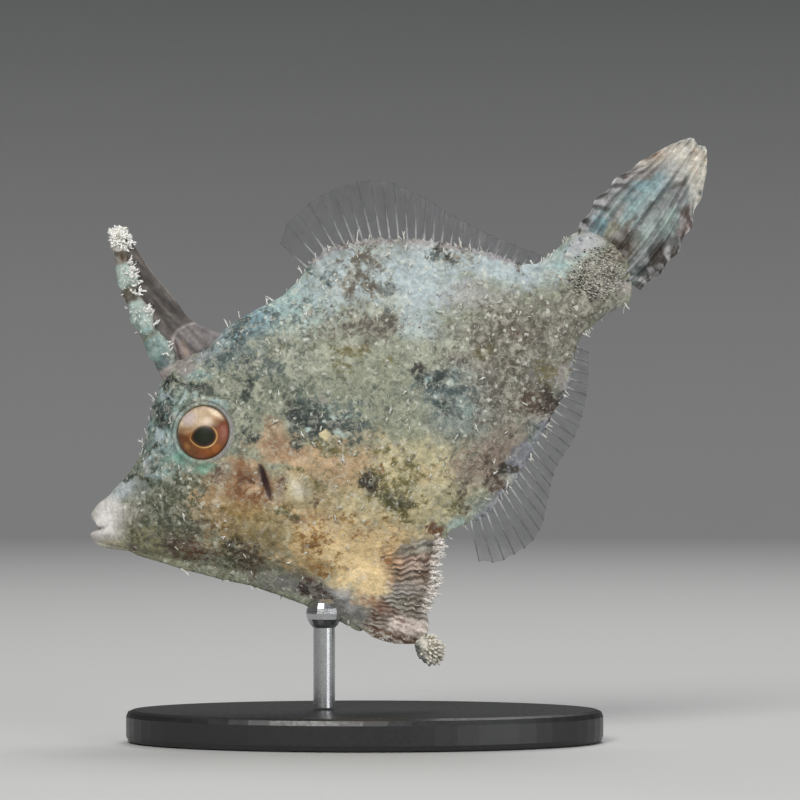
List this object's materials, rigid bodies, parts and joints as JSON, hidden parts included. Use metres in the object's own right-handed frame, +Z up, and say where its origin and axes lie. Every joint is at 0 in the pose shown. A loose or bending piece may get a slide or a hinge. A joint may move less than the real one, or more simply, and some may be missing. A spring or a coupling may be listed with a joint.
{
  "type": "aiptasia-eating filefish on a display stand",
  "caption": "Life-size still model of an aiptasia-eating filefish swimming head down, with raised dorsal spine and belly flap, held by one rod on a flat oval base.",
  "frame": {"origin": "centre of the bounding box's floor, on the underside of the base", "axes": "+X from the snout to the tail, +Y out of the fish's right side, +Z up"},
  "size_m": [0.0849, 0.038, 0.0833],
  "materials": {
    "fish_skin": "rough, mottled skin of olive, cream, blue-grey and brown",
    "fish_fin": "clear smoky membrane with pale rays",
    "fish_eye": "wet and glossy, copper iris with a gold ring round the pupil",
    "stand_base": "satin black paint",
    "stand_rod": "brushed"
  },
  "bodies": {
    "root": {"upper_jaw": "fish_skin", "lower_jaw": "fish_skin", "head": "fish_skin", "torso": "fish_skin", "tail_stem": "fish_skin", "belly_flap": "fish_skin", "pelvic_tuft": "fish_skin", "dorsal_spine": "fish_skin", "spine_web": "fish_fin", "dorsal_fin": "fish_fin", "anal_fin": "fish_fin", "pectoral_fin_left": "fish_fin", "pectoral_fin_right": "fish_fin", "tail_fin": "fish_skin", "eye_left": "fish_eye", "eye_right": "fish_eye", "stand_base": "stand_base", "stand_rod": "stand_rod"}
  },
  "joints": []
}
